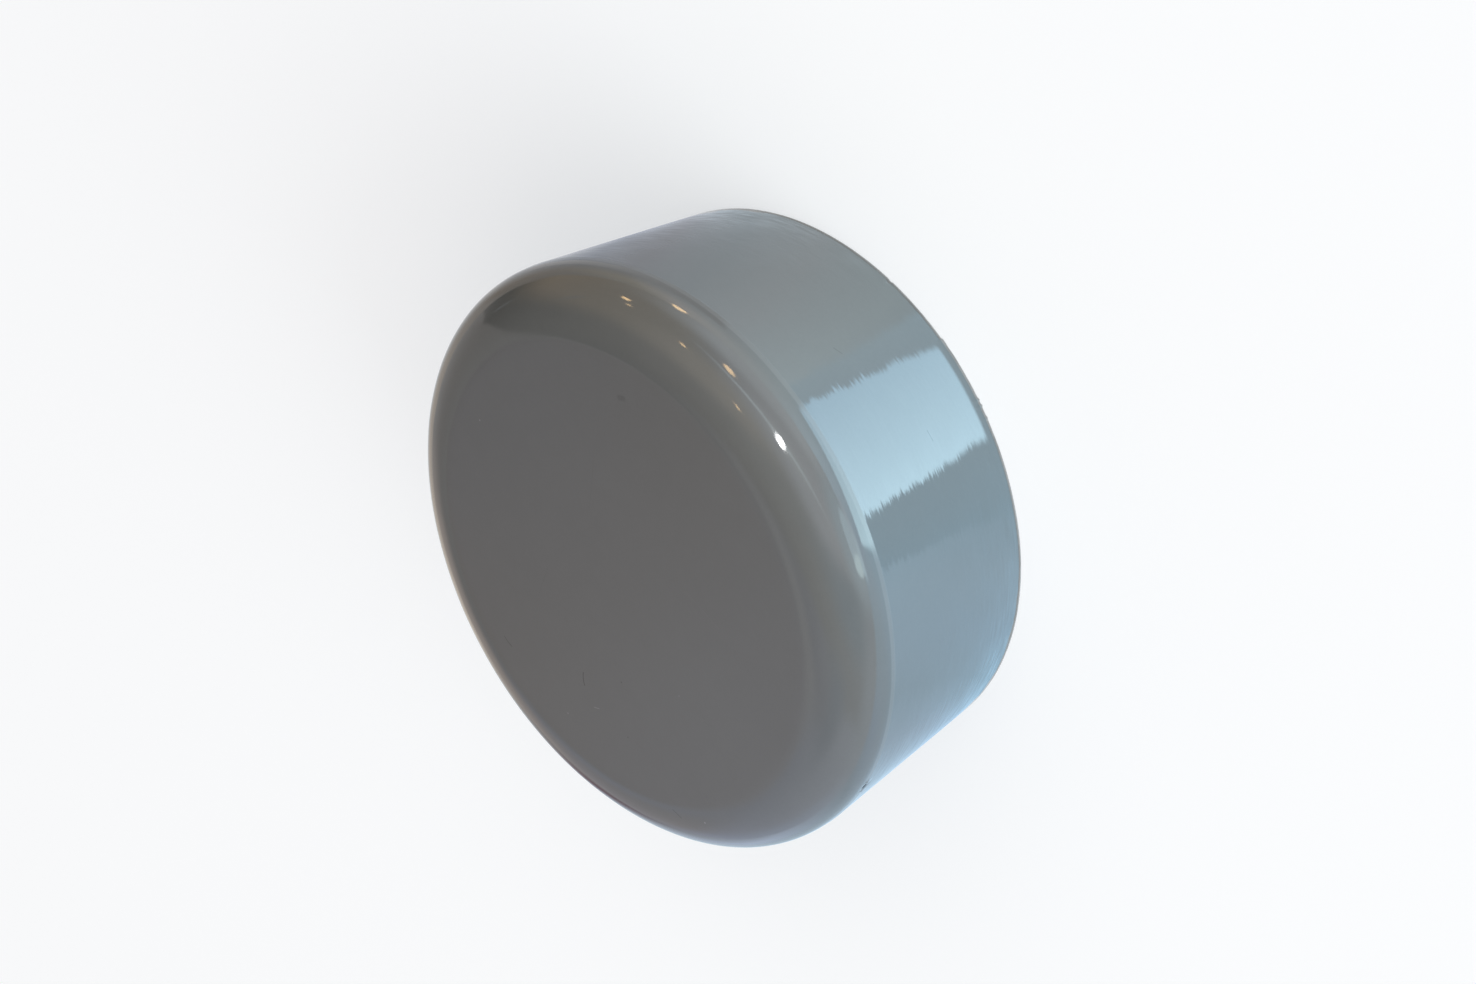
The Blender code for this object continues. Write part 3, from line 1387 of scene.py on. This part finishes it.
MATT_SKY = Sky((0.80, 0.75, 0.69), (
    SkyPatch(134.0, 20.0, 50.0, 45.0, 0.5, (0.36, 0.33, 0.41)),
    SkyPatch(15.0, 15.0, 65.0, 60.0, 0.5, (0.34, 0.29, 0.23)),
    SkyPatch(-110.0, 25.0, 60.0, 50.0, 0.6, (2.18, 2.28, 2.29)),
    SkyPatch(0.0, 88.0, 35.0, 35.0, 0.6, (0.22, 0.20, 0.18)),
))
MIRRORED_SKY = Sky((0.33, 0.27, 0.29), (
    # the dark side of the room and its ceiling
    SkyPatch(40.0, 22.0, 75.0, 36.0, 0.22, (0.0, 0.0, 0.0)),
    SkyPatch(0.0, 85.0, 40.0, 40.0, 0.6, (0.45, 0.33, 0.24)),
    # the pale panel that the flat face mirrors, whose border draws the dark crescent
    SkyPatch(86.0, 3.0, 31.0, 26.0, 0.012, (0.46, 0.43, 0.42)),
    SkyPatch(86.0, 9.0, 28.2, 30.6, 0.012, (0.46, 0.42, 0.41)),
    SkyPatch(72.0, -5.0, 17.0, 18.0, 0.7, (0.67, 0.66, 0.66)),
    SkyPatch(103.0, 48.0, 11.0, 10.0, 0.6, (0.90, 0.85, 0.90)),
    # the cool wall behind the left rim
    SkyPatch(134.0, 16.0, 39.5, 35.0, 0.1, (0.75, 0.80, 1.05)),
    SkyPatch(150.0, 50.0, 14.0, 10.0, 0.6, (0.25, 0.30, 0.50)),
    SkyPatch(124.0, 58.0, 13.0, 8.0, 0.6, (0.50, 0.45, 0.60)),
    # shades on the panel
    SkyPatch(89.5, 35.3, 6.0, 3.6, 0.35, (0.35, 0.20, 0.12)),
    SkyPatch(83.5, 35.5, 4.5, 3.0, 0.5, (0.34, 0.26, 0.29)),
    SkyPatch(97.5, 37.0, 6.0, 5.0, 0.9, (0.82, 0.78, 0.88)),
    SkyPatch(91.0, 5.0, 12.0, 13.0, 0.5, (1.00, 0.85, 0.77)),
    SkyPatch(104.0, 12.0, 9.0, 16.0, 0.5, (0.70, 0.65, 0.70)),
    SkyPatch(140.0, 0.0, 25.0, 12.0, 0.5, (0.80, 0.95, 1.30)),
    # the brown wall towards +X
    SkyPatch(4.0, 14.0, 34.0, 44.0, 0.25, (0.80, 0.58, 0.34)),
    # the bright side of the room
    SkyPatch(-58.0, 6.0, 40.0, 20.0, 0.5, (2.4, 2.6, 2.8)),
    SkyPatch(-25.0, 62.0, 24.0, 15.0, 0.6, (1.20, 0.93, 0.66)),
    SkyPatch(-92.0, 42.0, 42.0, 24.0, 0.5, (1.55, 1.55, 1.70)),
    SkyPatch(-146.0, 30.0, 14.0, 34.0, 0.6, (0.10, 0.30, 0.50)),
    SkyPatch(-165.0, 2.0, 32.0, 20.0, 0.5, (0.80, 0.93, 1.12)),
    # the tall light beside the camera, and its bright end
    SkyPatch(-116.0, 4.0, 22.0, 26.0, 0.35, (1.5, 2.1, 2.5)),
    SkyPatch(-116.0, 5.0, 11.8, 9.8, 0.12, (2.9, 4.1, 4.8)),
    SkyPatch(-124.2, 5.0, 3.8, 8.5, 0.18, (4.9, 6.6, 7.0)),
    # streaks and thin lines
    SkyPatch(-77.0, 44.0, 12.0, 7.0, 0.8, (2.0, 2.1, 2.15)),
    SkyPatch(-68.0, 44.5, 24.0, 2.0, 0.7, (3.0, 3.4, 3.6)),
    SkyPatch(-126.0, 33.5, 4.5, 1.6, 0.4, (1.20, 1.35, 1.50)),
    SkyPatch(49.5, 13.6, 3.5, 0.5, 0.4, (0.50, 0.55, 0.60)),
    SkyPatch(31.0, 30.2, 6.0, 1.2, 0.6, (0.55, 0.50, 0.45)),
))
NEAR_FLOOR = (
    (-175.0, (0.75, 1.10, 1.45)), (-158.0, (0.80, 1.35, 1.80)), (-142.0, (1.15, 2.00, 2.75)),
    (-128.0, (1.50, 2.60, 3.50)), (-112.0, (1.60, 3.05, 4.10)), (-66.0, (2.40, 3.10, 3.40)),
    (-46.0, (1.85, 2.15, 2.35)), (-27.0, (1.15, 1.35, 1.50)), (-8.0, (0.75, 0.80, 0.90)),
    (10.0, (0.58, 0.63, 0.73)), (40.0, (0.83, 0.83, 0.84)), (120.0, (0.73, 0.88, 0.98)),
)
FAR_FLOOR = (
    (-175.0, (0.70, 1.15, 1.75)), (-145.0, (1.10, 1.85, 2.45)), (-115.0, (1.70, 2.75, 3.70)),
    (-85.0, (2.55, 3.60, 4.30)), (-60.0, (2.60, 3.10, 3.30)), (-25.0, (2.50, 2.40, 2.35)),
    (-5.0, (1.30, 1.15, 0.90)), (20.0, (0.68, 0.60, 0.53)), (44.0, (0.48, 0.41, 0.35)),
    (50.0, (0.61, 0.56, 0.52)), (88.0, (1.30, 1.15, 1.00)), (97.0, (0.60, 0.57, 0.56)),
    (104.0, (0.27, 0.15, 0.20)), (112.0, (0.72, 0.80, 0.95)), (130.0, (1.15, 1.40, 1.85)),
    (160.0, (0.60, 0.87, 1.15)),
)
FLOOR_PATCHES = (
    # pale strip that lights the parting line
    FloorPatch(-8.0, 0.040, 0.75, 0.056, 0.076, 0.003, (1.25, 1.35, 1.45), (0.72, 0.68, 0.69)),
    # dim frame round the window's image
    FloorPatch(-94.45, 0.0129, 0.678, 0.0305, 0.054, 0.0008, (0.80, 1.95, 2.80), (2.40, 3.30, 3.80)),
    # bright strip past it
    FloorPatch(-94.6, 0.020, 0.362, 0.0537, 0.088, 0.002, (6.0, 9.4, 10.8), (3.1, 4.7, 6.1), slant=-0.66),
    # long strip towards the tall light
    FloorPatch(-114.0, 0.053, 0.24, 0.24, 3.9, 0.02, (4.4, 6.6, 7.6), (1.75, 2.0, 2.6)),
    # the window's image
    FloorPatch(
        -90.3, 0.0059, 0.49, 0.0319, 0.0537, 0.0007, (6.4, 9.9, 11.9), (3.7, 6.0, 7.7), waver=0.00018
    ),
)
WARM = (10.0, 6.6, 3.1)
DIM_WARM = (6.5, 4.4, 2.1)
LAMPS = (
    Lamp("cool_fill", -132.0, 12.0, 46.0, 46.0, (2.84, 3.6, 4.12), 1.2, Role.LIGHTING),
    Lamp("spark", -73.7, 45.1, 4.2, 11.0, (30.0, 30.0, 30.0), 0.82),
    Lamp("warm_lamp_1", 1.9, 22.9, 3.3, 3.6, WARM, 0.82),
    Lamp("warm_lamp_2", -21.6, -3.0, 5.3, 8.0, WARM, 0.38),
    Lamp("warm_lamp_3", -14.3, 46.8, 2.0, 2.8, WARM, 0.82),
    Lamp("warm_lamp_4", -43.8, 32.5, 4.6, 7.0, WARM, 0.82),
    Lamp("warm_lamp_5", -36.5, 65.1, 1.8, 2.6, WARM, 0.82),
    Lamp("warm_lamp_6", 3.1, 29.9, 1.8, 2.2, DIM_WARM, 0.82),
)


@dataclass(frozen=True)
class Studio:
    """What stands and shines round the cap.

    Attributes:
        surroundings: the room that lights the cap and is mirrored in it.
        floor: the floor.
        mirror: what the gloss sees of the floor.
        lamps: the lamps.
        camera: the camera.
    """

    surroundings: Surroundings = Surroundings(MATT_SKY, MIRRORED_SKY, (0.93, 0.935, 0.95))
    floor: Floor = Floor()
    mirror: MirrorFloor = MirrorFloor(NEAR_FLOOR, FAR_FLOOR, FLOOR_PATCHES)
    lamps: tuple[Lamp, ...] = LAMPS
    camera: PhotoCamera = PhotoCamera()

    def build(self) -> None:
        """Make every piece of the studio."""
        self.surroundings.build()
        self.floor.build()
        self.mirror.build()
        for lamp in self.lamps:
            lamp.hang()
        self.camera.build()
        bpy.context.scene.view_settings.view_transform = "Standard"
        patches = self.surroundings.mirrored.patches
        log.info("studio: %d lamps, %d patches of sky", len(self.lamps), len(patches))


def main() -> None:
    """Build the cap and the studio round it."""
    logging.basicConfig(level=logging.INFO, format="%(name)s: %(message)s")
    _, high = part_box(CAD_NODE)
    cap = EndCap(CapSection(widest_radius=high.x, height=high.z))
    moulding = cap.build()
    cap.dress(moulding)
    log.info("%s: %d faces", moulding.name, len(moulding.data.polygons))
    Studio().build()


if __name__ == "__main__":
    main()
